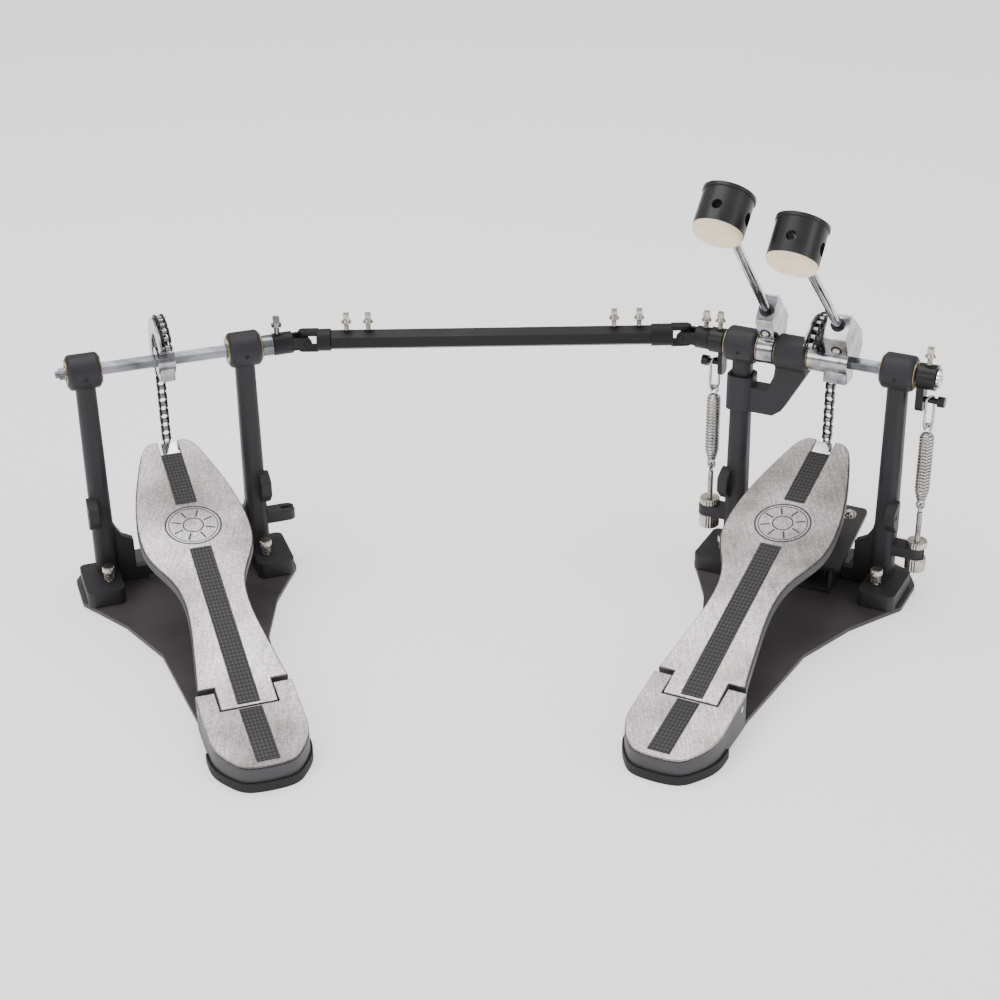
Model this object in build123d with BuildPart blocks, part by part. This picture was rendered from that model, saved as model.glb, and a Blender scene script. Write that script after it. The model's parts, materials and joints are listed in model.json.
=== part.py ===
"""Double bass drum pedal: a main pedal with two beaters, a second pedal, and the drive shaft between them.

Millimetres, +Z up, the floor at Z = 0, +Y towards the drum. The origin is the middle of the space it fills.
Most pieces are drawn in a pedal's own frame: X along the axle, Y towards the drum, the origin on the floor
under the middle of the axle. PLACES then stands the left and the main pedal at their own yaw.
"""

import os
from math import cos, pi, radians, sin

from build123d import *

os.makedirs("parts", exist_ok=True)

# Where the two pedals stand
SHAFT_MIDDLE = (1.24, 177.6)        # middle of the drive shaft, over the floor
SHAFT_SPAN = 336                    # from one universal joint's centre to the other's
JOINT_REACH = 124                   # from a pedal's middle to the centre of its universal joint
LEFT_YAW, MAIN_YAW = 18.3, -27.1    # the pedals' headings, in degrees
AXLE_H = 211

# Frame
POST_X = 69.5                       # the posts stand this far each side
CAP_R, CAP_INNER, CAP_OUTER = 15.5, 55.5, 84
BEARING_R, BEARING_W, BEARING_PROUD = 12, 7, 0.8
HEX_FLATS = 10.5                    # the axles are hexagon bar
BORE_R = 6.15                       # bearings run on the corners of the hexagon
PLATE = 4                           # steel base plate
BRACKET_X, BRACKET_Z, BRACKET_T = 97, 40, 10
YOKE_NEAR, YOKE_FAR = -38, -10      # second bearing housing, along the axle
LUG_X, LUG_T, LUG_HOLE = 77, 9, (-14.5, 80.5)   # a drilled lug on each post, on the player's side
SPUR_Y, SPUR_X = -24.6, 71

# Footboard and heel
HEEL_LINE = (0, -285, 31.7)         # where the two tread plates meet, at the middle
BOARD_TILT, HEEL_TILT = 15, 8.5
PIN_Y, PIN_Z, PIN_R = -271, 25, 3
TREAD, BODY = 1.5, 8                # thickness of the metal tread plate and of the casting under it
STRIP_HALF = 9
TONGUE_HALF, TONGUE_LENGTH = 23, 24.5
TOE_V = 331                         # the toe, measured up the board from the heel line
NOTCH_V = 312                       # the chain clip sits in a notch from here to the toe

# Chain drive
CHAIN_R, CHAIN_W, CHAIN_T = 36.3, 8.6, 7
WRAP_END = 145                      # the chain lies on the wheel from 0 to this angle
CLIP_PIN_Z = 113

# Beaters: rod angle from vertical, height of the head up the rod, place along the axle
ROD_R, ROD_OFFSET = 4, 20.5
MAIN_BEATER = {"angle": 48, "height": 200, "x": 17}
SECOND_BEATER = {"angle": 44, "height": 204, "x": -46.75}
HEAD_R, HEAD_L = 20.8, 39
ROD_SUNK = 11                       # the rod stops this far inside the head's top hole

# Universal joints and drive shaft
YOKE_R, EAR_GAP, EAR_T, EAR_HALF, CROSS_PIN_R = 9.8, 5.5, 3.8, 5, 2.2
TUBE_FLATS, ROD_FLATS, ROD_SLACK = 16, 9, 0.1
TUBE_LEFT, TUBE_RIGHT = 24, 29      # from the joint centres to the ends of the tube
ROD_IN_TUBE = 150

# Springs
ARM_DROP = 21                       # spring pin below the axle
EYE_Z = {"main": 88, "second": 87}
SPRING_X = {"main": 98, "second": -95}
COIL_R, COIL_LENGTH = 6.5, 70


def heading(yaw, distance):
    """A step of the given length along a pedal's axle."""
    return distance * cos(radians(yaw)), distance * sin(radians(yaw))


left_joint = (SHAFT_MIDDLE[0] - SHAFT_SPAN / 2, SHAFT_MIDDLE[1])
main_joint = (SHAFT_MIDDLE[0] + SHAFT_SPAN / 2, SHAFT_MIDDLE[1])
left_step, main_step = heading(LEFT_YAW, JOINT_REACH), heading(MAIN_YAW, JOINT_REACH)
LEFT = Location((left_joint[0] - left_step[0], left_joint[1] - left_step[1], 0), (0, 0, LEFT_YAW))
MAIN = Location((main_joint[0] + main_step[0], main_joint[1] + main_step[1], 0), (0, 0, MAIN_YAW))
PLACES = {"left": LEFT, "main": MAIN}


def save(piece, name, place=Location()):
    """Label a finished piece and write it where it stands."""
    placed = piece.part.moved(place)
    placed.label = name
    export_step(placed, f"parts/{name}.step")


def save_pair(piece, name):
    """Both pedals have this piece."""
    for side, place in PLACES.items():
        save(piece, f"{side}_{name}", place)


def sloped(tilt, lift=0):
    """A plane through the heel line, rising towards the toe, lifted along its own normal."""
    normal = (0, -sin(radians(tilt)), cos(radians(tilt)))
    plane = Plane(origin=HEEL_LINE, x_dir=(1, 0, 0), z_dir=normal)
    return plane.offset(lift)


def bar(start, end, y=0, z=AXLE_H, radius=1.0, mode=Mode.ADD):
    """A round bar along the axle's direction."""
    with BuildSketch(Plane.YZ.offset(min(start, end)), mode=Mode.PRIVATE) as section:
        with Locations((y, z)):
            Circle(radius)
    extrude(section.sketch, amount=abs(end - start), mode=mode)


def hex_bar(start, end, flats, mode=Mode.ADD, y=0, z=AXLE_H):
    """A hexagon bar along the axle's direction, one corner up."""
    with BuildSketch(Plane.YZ.offset(min(start, end)), mode=Mode.PRIVATE) as section:
        with Locations((y, z)):
            RegularPolygon(flats / 2, 6, major_radius=False, rotation=30)
    extrude(section.sketch, amount=abs(end - start), mode=mode)


def key_screw(x, base):
    """A square-headed key screw with its collar, standing up from the given height on the axle's line."""
    with BuildSketch(Plane.XY.offset(base), mode=Mode.PRIVATE) as shank:
        with Locations((x, 0)):
            Circle(2.4)
    extrude(shank.sketch, amount=7.5)
    with BuildSketch(Plane.XY.offset(base + 7.5), mode=Mode.PRIVATE) as collar:
        with Locations((x, 0)):
            Circle(4.6)
    extrude(collar.sketch, amount=1.6)
    with BuildSketch(Plane.XY.offset(base + 9.1), mode=Mode.PRIVATE) as head:
        with Locations((x, 0)):
            RectangleRounded(5.6, 5.6, 1)
    extrude(head.sketch, amount=6.4)


def fork(centre, root, turn):
    """The two ears of a universal-joint fork, from root to the joint's centre; turn 0 is an upright pin."""
    upright = (0, -sin(radians(turn)), cos(radians(turn)))
    middle = Plane(origin=(0, 0, AXLE_H), x_dir=(1, 0, 0), z_dir=upright)
    for low in (EAR_GAP, -EAR_GAP - EAR_T):
        with BuildSketch(middle.offset(low), mode=Mode.PRIVATE) as ear:
            with Locations(((centre + root) / 2, 0)):
                Rectangle(abs(centre - root), 2 * EAR_HALF)
            with Locations((centre, 0)):
                Circle(EAR_HALF)
                Circle(CROSS_PIN_R + 0.4, mode=Mode.SUBTRACT)
        extrude(ear.sketch, amount=EAR_T)


# ---------------------------------------------------------------- base plates

with BuildPart() as base_plate:
    with BuildSketch() as outline:
        with BuildLine():
            Polyline((0, -302), (37, -302), (37, -250), (46, -140), (67, -82), (84, -52), (97, -30),
                     (97, 12), (84, 36), (50, 52), (0, 52))
            mirror(about=Plane.YZ)
        make_face()
        fillet(outline.vertices().filter_by_position(Axis.Y, -260, 40), 9)
        with Locations((SPUR_X, SPUR_Y), (-SPUR_X, SPUR_Y)):
            Circle(3.6, mode=Mode.SUBTRACT)
    extrude(amount=PLATE)
save_pair(base_plate, "base_plate")


# ---------------------------------------------------------------- frames

def frame_casting(bracket_sides):
    """Two posts with their bearing housings, the low wall between them, the feet, lugs and spring brackets."""
    with BuildPart() as casting:
        for side in (-1, 1):
            with BuildSketch(Plane.XY.offset(PLATE)) as foot:
                with Locations((side * 76.5, -16)):
                    RectangleRounded(33, 56, 6)
            extrude(amount=15)
            with BuildSketch(Plane.XY.offset(PLATE + 10)) as post_base:
                with Locations((side * POST_X, 0)):
                    RectangleRounded(19, 21, 6)
            with BuildSketch(Plane.XY.offset(AXLE_H - 8)) as post_top:
                with Locations((side * POST_X, 0)):
                    RectangleRounded(17, 16, 6)
            loft()
            with BuildSketch(Plane.XZ) as housing:
                with Locations((side * (CAP_INNER + CAP_OUTER) / 2, AXLE_H + CAP_R / 2)):
                    Rectangle(CAP_OUTER - CAP_INNER, CAP_R)
                fillet(housing.vertices().group_by(Axis.Y)[-1], 4)
            revolve(axis=Axis((0, 0, AXLE_H), (1, 0, 0)))
            with BuildSketch(Plane.YZ.offset(side * LUG_X - LUG_T / 2)) as lug:
                with BuildLine():
                    Polyline((-4, 60), (-11, 65), (-20, 74), (-20, 87), (-12, 92), (-4, 94), close=True)
                make_face()
                fillet(lug.vertices(), 2.5)
                with Locations(LUG_HOLE):
                    Circle(2.4, mode=Mode.SUBTRACT)
            extrude(amount=LUG_T)
            if side in bracket_sides:
                with BuildSketch(Plane.XY.offset(BRACKET_Z)) as bracket:
                    with Locations((side * (POST_X + BRACKET_X) / 2, 0)):
                        Rectangle(BRACKET_X - POST_X, 16)
                    with Locations((side * BRACKET_X, 0)):
                        Circle(8)
                    with Locations((side * (BRACKET_X + 4), 0)):
                        Rectangle(18, 5.6, mode=Mode.SUBTRACT)
                extrude(amount=BRACKET_T)
        with BuildSketch(Plane.XZ.offset(-3)) as wall:
            with BuildLine():
                Polyline((0, PLATE + 3), (34, PLATE + 3), (34, PLATE), (62, PLATE), (62, 74),
                         (59, 60), (53, 50), (44, 45), (44, 17), (0, 17))
                mirror(about=Plane.YZ)
            make_face()
        extrude(amount=8)
        bar(-CAP_OUTER, CAP_OUTER, radius=BEARING_R, mode=Mode.SUBTRACT)
        with BuildSketch(Plane.XY):
            with Locations((SPUR_X, SPUR_Y), (-SPUR_X, SPUR_Y)):
                Circle(3.3)
        extrude(amount=30, mode=Mode.SUBTRACT)
    return casting


save(frame_casting((-1, 1)), "main_frame", MAIN)
save(frame_casting((1,)), "left_frame", LEFT)

# The yoke bracket clamps round the main frame's inner post and carries the housing between the two beaters.
ARM_LOW, ARM_HIGH, ARM_HALF = 152, 175, 8
with BuildPart() as yoke:
    with BuildSketch(Plane.XY.offset(ARM_LOW)) as sleeve:
        with Locations((-POST_X, 0)):
            RectangleRounded(24, 23, 7)
    extrude(amount=32)
    with BuildSketch(Plane.XZ.offset(-ARM_HALF)) as arm:
        with BuildLine():
            Polyline((-62, ARM_LOW), (-38, ARM_LOW), (-30, ARM_LOW + 6), (-10, 194), (-10, AXLE_H),
                     (-36, AXLE_H), (-38, 190), (-44, ARM_HIGH), (-62, ARM_HIGH), close=True)
        make_face()
    extrude(amount=2 * ARM_HALF)
    with BuildSketch(Plane.XZ) as housing:
        with Locations(((YOKE_NEAR + YOKE_FAR) / 2, AXLE_H + CAP_R / 2)):
            Rectangle(YOKE_FAR - YOKE_NEAR, CAP_R)
        fillet(housing.vertices().group_by(Axis.Y)[-1], 3)
    revolve(axis=Axis((0, 0, AXLE_H), (1, 0, 0)))
    bar(YOKE_NEAR, YOKE_FAR, radius=BEARING_R, mode=Mode.SUBTRACT)
    with BuildSketch(Plane.XY.offset(ARM_LOW - 1)) as post_hole:
        with Locations((-POST_X, 0)):
            RectangleRounded(18.6, 20, 6)
    extrude(amount=40, mode=Mode.SUBTRACT)
save(yoke, "yoke_bracket", MAIN)


def bearing_set(faces):
    """One flanged bearing at each housing face, given as (place along the axle, side the face looks)."""
    with BuildPart() as rings:
        for place, side in faces:
            outside = place + side * BEARING_PROUD
            bar(outside, place - side * BEARING_W, radius=BEARING_R)
            bar(outside, place - side * BEARING_W, radius=BORE_R, mode=Mode.SUBTRACT)
    return rings


POST_FACES = [(-CAP_OUTER, -1), (-CAP_INNER, 1), (CAP_INNER, -1), (CAP_OUTER, 1)]
save(bearing_set(POST_FACES), "left_bearings", LEFT)
save(bearing_set(POST_FACES + [(YOKE_NEAR, -1), (YOKE_FAR, 1)]), "main_bearings", MAIN)

# Spur screws that bite into the carpet, each with its locking spring under the head
with BuildPart() as spurs:
    for side in (-1, 1):
        with BuildSketch(Plane.XY.offset(3)) as tip:
            with Locations((side * SPUR_X, SPUR_Y)):
                Circle(3)
        extrude(amount=25)
        with BuildSketch(Plane.XY.offset(28)) as head:
            with Locations((side * SPUR_X, SPUR_Y)):
                RegularPolygon(5.6, 6)
        extrude(amount=5.5)
save_pair(spurs, "spur_screws")

# ---------------------------------------------------------------- heels

HEEL_END = -70                      # the heel's rear edge, measured down the heel plate


def heel_outline(grow=0.0, front=24.0):
    """The heel seen square to its plate: straight sides and a broad round end."""
    with BuildLine() as edge:
        Polyline((0, front), (39 + grow, front), (39 + grow, -26))
        Spline((39 + grow, -26), (36.5 + grow, -43), (27 + grow, -60), (0, HEEL_END - grow),
               tangents=((0, -1), (-1, 0)))
        mirror(about=Plane.YZ)
    make_face(edge.edges())


HEEL_FLOOR = Plane.XY.move(Location((0, HEEL_LINE[1], 0)))

with BuildPart() as heel_block:
    with BuildSketch(HEEL_FLOOR.offset(PLATE)):
        heel_outline(front=22.5)
    extrude(amount=36)
    split(bisect_by=sloped(HEEL_TILT, -TREAD), keep=Keep.BOTTOM)
    with BuildSketch(HEEL_FLOOR.offset(PLATE)):
        with Locations((0, 12)):
            Rectangle(2 * TONGUE_HALF + 1.6, 26)
    extrude(amount=40, mode=Mode.SUBTRACT)
    bar(-45, 45, y=PIN_Y, z=PIN_Z, radius=PIN_R + 0.05, mode=Mode.SUBTRACT)
save_pair(heel_block, "heel_block")

with BuildPart() as heel_plate:
    with BuildSketch(sloped(HEEL_TILT, -TREAD)):
        heel_outline(front=22.5)
        with Locations((0, 12.3)):
            Rectangle(2 * TONGUE_HALF + 1.6, 25.4, mode=Mode.SUBTRACT)
    extrude(amount=TREAD)
save_pair(heel_plate, "heel_plate")

# The rubber foot: a pad under the heel, turned up into a lip round the block
with BuildPart() as heel_foot:
    with BuildSketch(HEEL_FLOOR):
        heel_outline(grow=2, front=-18)
    extrude(amount=PLATE + 4)
    with BuildSketch(HEEL_FLOOR.offset(PLATE)):
        heel_outline(grow=0.05, front=0)
    extrude(amount=10, mode=Mode.SUBTRACT)
save_pair(heel_foot, "heel_foot")

with BuildPart() as hinge_pin:
    bar(-39, 39, y=PIN_Y, z=PIN_Z, radius=PIN_R)
save_pair(hinge_pin, "hinge_pin")

# ---------------------------------------------------------------- footboards


def board_edge(shrink=0.0, start=TONGUE_LENGTH):
    """Half of the footboard's shape: narrow waist, broad ball, rounded toe."""
    with BuildLine() as edge:
        Line((0, start), (37 - shrink, start))
        Spline((37 - shrink, start), (32 - shrink, 60), (26.8 - shrink, 104), (31 - shrink, 150),
               (45 - shrink, 184), (47.8 - shrink, 208), (42.5 - shrink, 256), (30 - shrink, 305),
               (14, TOE_V - shrink), tangents=((-0.2, 1), (-1, 0.25)))
        Line((14, TOE_V - shrink), (0, TOE_V - shrink))
        mirror(about=Plane.YZ)
    return make_face(edge.edges())


BOARD_TOP = sloped(BOARD_TILT)


def on_board(up, lift):
    """Y and Z of a point measured up the board from the heel line and lifted square to it."""
    tilt = radians(BOARD_TILT)
    return HEEL_LINE[1] + up * cos(tilt) - lift * sin(tilt), HEEL_LINE[2] + up * sin(tilt) + lift * cos(tilt)


# The casting: a shallow tray upside down, with the hinge boss under its tongue
with BuildPart() as footboard:
    with BuildSketch(BOARD_TOP.offset(-TREAD)):
        board_edge(start=TONGUE_LENGTH + 1.5)
        with Locations((0, 14)):
            Rectangle(2 * TONGUE_HALF, 27)
    extrude(amount=-BODY)
    with BuildSketch(BOARD_TOP.offset(-TREAD - 3)):
        board_edge(shrink=4, start=TONGUE_LENGTH + 12)
        for across in (60, 120, 180, 240, 290):
            with Locations((0, across)):
                Rectangle(100, 3, mode=Mode.SUBTRACT)
    extrude(amount=-BODY, mode=Mode.SUBTRACT)
    bar(-TONGUE_HALF, TONGUE_HALF, y=PIN_Y, z=PIN_Z, radius=6.3)
    bar(-TONGUE_HALF - 1, TONGUE_HALF + 1, y=PIN_Y, z=PIN_Z, radius=PIN_R + 0.05, mode=Mode.SUBTRACT)
    for start, depth in ((NOTCH_V, TREAD + 3), (NOTCH_V + 6, 40)):
        with BuildSketch(BOARD_TOP):
            with Locations((0, start + 15)):
                Rectangle(2 * STRIP_HALF, 30)
        extrude(amount=-depth, mode=Mode.SUBTRACT)
save_pair(footboard, "footboard")

# The brushed metal tread plate, with its slots for the rubber strip either side of the badge
BADGE_V, BADGE_LENGTH = 216, 64
STRIP_SPANS = ((4, BADGE_V - BADGE_LENGTH / 2 + 3), (BADGE_V + BADGE_LENGTH / 2 - 3, NOTCH_V))
with BuildPart() as tread_plate:
    with BuildSketch(BOARD_TOP.offset(-TREAD)):
        board_edge(shrink=0.8, start=TONGUE_LENGTH + 1.5)
        with Locations((0, 14)):
            Rectangle(2 * TONGUE_HALF - 1, 26)
        for low, high in STRIP_SPANS:
            with Locations((0, (low + high) / 2)):
                Rectangle(2 * STRIP_HALF, high - low, mode=Mode.SUBTRACT)
        with Locations((0, (NOTCH_V + TOE_V) / 2 + 2)):
            Rectangle(2 * STRIP_HALF, TOE_V - NOTCH_V + 8, mode=Mode.SUBTRACT)
    extrude(amount=TREAD)
save_pair(tread_plate, "tread_plate")

with BuildPart() as tread_strip:
    with BuildSketch(BOARD_TOP.offset(-TREAD)):
        for low, high in STRIP_SPANS:
            with Locations((0, (low + high) / 2)):
                Rectangle(2 * STRIP_HALF, high - low)
    extrude(amount=TREAD + 0.6)
save_pair(tread_strip, "tread_strip")

# The chain clip: a wedge in the toe notch with an eye for the chain's last pin
CHAIN_GAP = 1.5                     # between the free chain and the length on the wheel
EYE_BACK = CHAIN_R - CHAIN_T / 2 - 1
with BuildPart() as chain_clip:
    with BuildSketch(Plane.YZ.offset(-7)):
        with BuildLine():
            Polyline(on_board(NOTCH_V + 0.2, -4.2), on_board(NOTCH_V + 0.2, 0.6), on_board(NOTCH_V + 13, 2.4),
                     (EYE_BACK, CLIP_PIN_Z + 3.2), (EYE_BACK, CLIP_PIN_Z - 3.2), on_board(NOTCH_V + 7, -8),
                     on_board(NOTCH_V + 7, -4.2), close=True)
        make_face()
    extrude(amount=14)
    bar(-2.4, 2.4, y=CHAIN_R, z=CLIP_PIN_Z, radius=3.2)
    with BuildSketch(Plane.XY.offset(CLIP_PIN_Z - 3.2)):
        with Locations((0, (EYE_BACK - 1 + CHAIN_R) / 2)):
            Rectangle(4.8, CHAIN_R - EYE_BACK + 1)
    extrude(amount=6.4)
    bar(-3, 3, y=CHAIN_R, z=CLIP_PIN_Z, radius=1.4, mode=Mode.SUBTRACT)
save_pair(chain_clip, "chain_clip")

# ---------------------------------------------------------------- chains

# The free length of chain: two rows of side plates on their pins, drawn as one slim bar forked at the clip
CHAIN_LOW = CLIP_PIN_Z - 2.5
with BuildPart() as hanging_chain:
    with BuildSketch(Plane.XY.offset(CLIP_PIN_Z + 4.5)):
        with Locations((0, CHAIN_R)):
            Rectangle(CHAIN_W, CHAIN_T)
    extrude(amount=AXLE_H - CHAIN_GAP - CLIP_PIN_Z - 4.5)
    for side in (-1, 1):
        with BuildSketch(Plane.XY.offset(CHAIN_LOW)):
            with Locations((side * (CHAIN_W / 2 - 0.8), CHAIN_R)):
                Rectangle(1.6, 5)
        extrude(amount=8)
    bar(-CHAIN_W / 2, CHAIN_W / 2, y=CHAIN_R, z=CLIP_PIN_Z, radius=1.3)
save_pair(hanging_chain, "hanging_chain")

CHAIN_INNER = CHAIN_R - CHAIN_T / 2
CHAIN_OUTER = CHAIN_R + CHAIN_T / 2


def sector(x, width, inner, outer, first, last, mode=Mode.ADD):
    """Part of a ring round the axle, from one angle to another, measured up from the drum side."""
    with BuildLine() as edge:
        outer_arc = CenterArc((0, AXLE_H), outer, first, last - first)
        inner_arc = CenterArc((0, AXLE_H), inner, first, last - first)
        Line(outer_arc @ 0, inner_arc @ 0)
        Line(outer_arc @ 1, inner_arc @ 1)
    with BuildSketch(Plane.YZ.offset(x), mode=Mode.PRIVATE) as ring:
        make_face(edge.edges())
    extrude(ring.sketch, amount=width, mode=mode)


with BuildPart() as wrapped_chain:
    sector(-CHAIN_W / 2, CHAIN_W, CHAIN_INNER, CHAIN_OUTER, 0, WRAP_END)
save_pair(wrapped_chain, "wrapped_chain")


def sprocket_wheel():
    """The toothed segment, its side flange and spokes, all one casting round the axle."""
    rim = CHAIN_INNER - 0.1
    sector(-1.4, 2.8, rim - 4, rim, 1, WRAP_END)
    sector(-6.6, 1.8, 24, CHAIN_R + 1.5, -14, WRAP_END)
    sector(-6.6, 8, rim - 5.5, rim - 1, 1, WRAP_END)
    for spoke in (7, 36, 70, 105, WRAP_END - 6):
        sector(-5, 5, 10, rim - 4, spoke - 5, spoke + 5)


with BuildPart() as left_sprocket:
    sprocket_wheel()
    bar(-7, 8, radius=12)
    with BuildSketch(Plane.XY.offset(AXLE_H - 16)):
        with Locations((0.5, -5)):
            RectangleRounded(13, 12, 2)
    extrude(amount=12)
    hex_bar(-10, 10, HEX_FLATS, mode=Mode.SUBTRACT)
save(left_sprocket, "left_sprocket", LEFT)


def hub_block(beater, width, outline):
    """The cast block that grips the beater rod: its outline is given along and across the rod."""
    along = (-sin(radians(beater["angle"])), cos(radians(beater["angle"])))
    across = (cos(radians(beater["angle"])), sin(radians(beater["angle"])))
    corners = []
    for up, out in outline:
        reach = ROD_OFFSET + out
        corners.append((up * along[0] + reach * across[0], AXLE_H + up * along[1] + reach * across[1]))
    with BuildSketch(Plane.YZ.offset(beater["x"] - width / 2), mode=Mode.PRIVATE) as block:
        with BuildLine() as edge:
            Polyline(*corners, close=True)
        make_face(edge.edges())
        fillet(block.vertices(), 1.5)
    extrude(block.sketch, amount=width)


def rod_plane(beater, up):
    """A plane square to the beater rod at a height up it, with its X along the axle."""
    angle = radians(beater["angle"])
    centre = (beater["x"], ROD_OFFSET * cos(angle) - up * sin(angle),
              AXLE_H + ROD_OFFSET * sin(angle) + up * cos(angle))
    return Plane(origin=centre, x_dir=(1, 0, 0), z_dir=(0, -sin(angle), cos(angle)))


def rod_bore(beater):
    """The hole through a hub block that the beater rod slides in."""
    with BuildSketch(rod_plane(beater, -45), mode=Mode.PRIVATE) as bore:
        Circle(ROD_R + 0.05)
    extrude(bore.sketch, amount=100, mode=Mode.SUBTRACT)


with BuildPart() as main_sprocket_hub:
    sprocket_wheel()
    bar(-8.4, 27, radius=12)
    hub_block(MAIN_BEATER, 20, ((31, -13), (36, 9), (-8, 13), (-20, 4), (-24, -14), (-8, -27)))
    with BuildSketch(Plane.XY.offset(AXLE_H - 17)):
        with Locations((16.5, 1)):
            RectangleRounded(21, 22, 3)
    extrude(amount=12)
    rod_bore(MAIN_BEATER)
    hex_bar(-12, 30, HEX_FLATS, mode=Mode.SUBTRACT)
save(main_sprocket_hub, "main_sprocket_hub", MAIN)

with BuildPart() as second_hub:
    bar(YOKE_NEAR - 1.7, -CAP_INNER + 1.7, radius=13)
    hub_block(SECOND_BEATER, 15, ((34, -11), (39, 14), (-2, 15), (-10, 3), (-16, -12), (4, -20)))
    rod_bore(SECOND_BEATER)
    hex_bar(-60, -30, HEX_FLATS, mode=Mode.SUBTRACT)
save(second_hub, "second_hub", MAIN)

# ---------------------------------------------------------------- axles

with BuildPart() as left_axle:
    hex_bar(-CAP_OUTER - 1, 112, HEX_FLATS)
    bar(-CAP_OUTER - 9.5, -CAP_OUTER - 1, radius=3)
    hex_bar(-CAP_OUTER - 6.5, -CAP_OUTER - 1.8, 10)
    bar(CAP_OUTER + 1.8, 95, radius=9.2)
    key_screw(100, AXLE_H + YOKE_R)
save(left_axle, "left_axle", LEFT)

with BuildPart() as main_axle:
    hex_bar(-22, 102.5, HEX_FLATS)
    bar(102.5, 105.5, radius=8)
save(main_axle, "main_axle", MAIN)


def rocker(inner, outer, arm_x, pin_tip):
    """The spring rocker: a collar clamped on the axle, an arm hanging from it, and the spring's pin."""
    bar(inner, outer, radius=11)
    with BuildSketch(Plane.YZ.offset(min(arm_x)), mode=Mode.PRIVATE) as arm:
        with Locations((0, AXLE_H - 15)):
            RectangleRounded(13, 32, 4)
    extrude(arm.sketch, amount=abs(arm_x[1] - arm_x[0]))
    bar(min(arm_x), pin_tip, z=AXLE_H - ARM_DROP, radius=2.5)
    tip_inner = pin_tip - 6 if pin_tip > 0 else pin_tip + 6
    bar(tip_inner, pin_tip, z=AXLE_H - ARM_DROP, radius=4.6)
    hex_bar(inner - 1, outer + 1, HEX_FLATS, mode=Mode.SUBTRACT)


with BuildPart() as main_rocker:
    rocker(86.5, 102, (86.5, 93), 110.5)
save(main_rocker, "main_rocker", MAIN)

with BuildPart() as second_rocker:
    rocker(-99, -86.5, (-90.5, -86.5), -107)
save(second_rocker, "second_rocker", MAIN)

with BuildPart() as main_screws:
    key_screw(94.5, AXLE_H + 11)
save(main_screws, "main_screws", MAIN)

# ---------------------------------------------------------------- universal joints and drive shaft

SHAFT = Location((SHAFT_MIDDLE[0], SHAFT_MIDDLE[1], 0))
FORK_ROOT = 11.5                    # from the joint's centre to the bottom of the fork
SHAFT_END = SHAFT_SPAN / 2

with BuildPart() as left_axle_fork:
    bar(96, JOINT_REACH - FORK_ROOT, radius=YOKE_R)
    fork(JOINT_REACH, JOINT_REACH - FORK_ROOT - 1, 90)
    hex_bar(95, 112, HEX_FLATS, mode=Mode.SUBTRACT)
save(left_axle_fork, "left_axle_fork", LEFT)

with BuildPart() as second_axle:
    hex_bar(-31, -JOINT_REACH + FORK_ROOT, HEX_FLATS)
    bar(-99.8, -JOINT_REACH + FORK_ROOT, radius=YOKE_R)
    fork(-JOINT_REACH, -JOINT_REACH + FORK_ROOT + 1, 90)
save(second_axle, "second_axle", MAIN)


def cross_at(x):
    """The spider of a universal joint: a block with four pins."""
    with BuildPart() as cross:
        with Locations((x, 0, AXLE_H)):
            Box(7, 7, 7)
            Cylinder(CROSS_PIN_R, 2 * YOKE_R - 1)
            Cylinder(CROSS_PIN_R, 2 * YOKE_R - 1, rotation=(90, 0, 0))
    return cross


save(cross_at(JOINT_REACH), "left_joint_cross", LEFT)
save(cross_at(-JOINT_REACH), "right_joint_cross", MAIN)

with BuildPart() as drive_rod:
    fork(-SHAFT_END, -SHAFT_END + FORK_ROOT + 1, 0)
    bar(-SHAFT_END + FORK_ROOT, -SHAFT_END + TUBE_LEFT - 0.4, radius=YOKE_R)
    hex_bar(-SHAFT_END + TUBE_LEFT - 1, -SHAFT_END + TUBE_LEFT + ROD_IN_TUBE, ROD_FLATS)
save(drive_rod, "drive_rod", SHAFT)

with BuildPart() as drive_tube:
    hex_bar(-SHAFT_END + TUBE_LEFT, SHAFT_END - TUBE_RIGHT, TUBE_FLATS)
    bore = ROD_FLATS + 2 * ROD_SLACK
    hex_bar(-SHAFT_END + TUBE_LEFT - 1, SHAFT_END - TUBE_RIGHT - 12, bore, mode=Mode.SUBTRACT)
    bar(SHAFT_END - TUBE_RIGHT - 1, SHAFT_END - FORK_ROOT, radius=YOKE_R)
    fork(SHAFT_END, SHAFT_END - FORK_ROOT - 1, 0)
save(drive_tube, "drive_tube", SHAFT)

TUBE_CORNER = TUBE_FLATS / 2 / cos(pi / 6)
with BuildPart() as tube_screws:
    for x in (-130, -111, 105, 127):
        key_screw(x, AXLE_H + TUBE_CORNER)
save(tube_screws, "tube_screws", SHAFT)

with BuildPart() as second_screws:
    key_screw(-91.5, AXLE_H + 11)
    key_screw(-104.5, AXLE_H + YOKE_R)
save(second_screws, "second_screws", MAIN)

# ---------------------------------------------------------------- beaters


def beater_rod(beater, below):
    """The polished rod, from under its hub block into its head."""
    with BuildPart() as rod:
        with BuildSketch(rod_plane(beater, below)):
            Circle(ROD_R)
        extrude(amount=beater["height"] - below + HEAD_R - ROD_SUNK)
    return rod


def facing(beater, forward):
    """A plane square to the head's axis, a distance from its middle towards the player's side."""
    angle = radians(beater["angle"])
    plane = Plane(origin=rod_plane(beater, beater["height"]).origin, x_dir=(1, 0, 0),
                  z_dir=(0, -cos(angle), -sin(angle)))
    return plane.offset(forward)


FELT = 6.5


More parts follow.
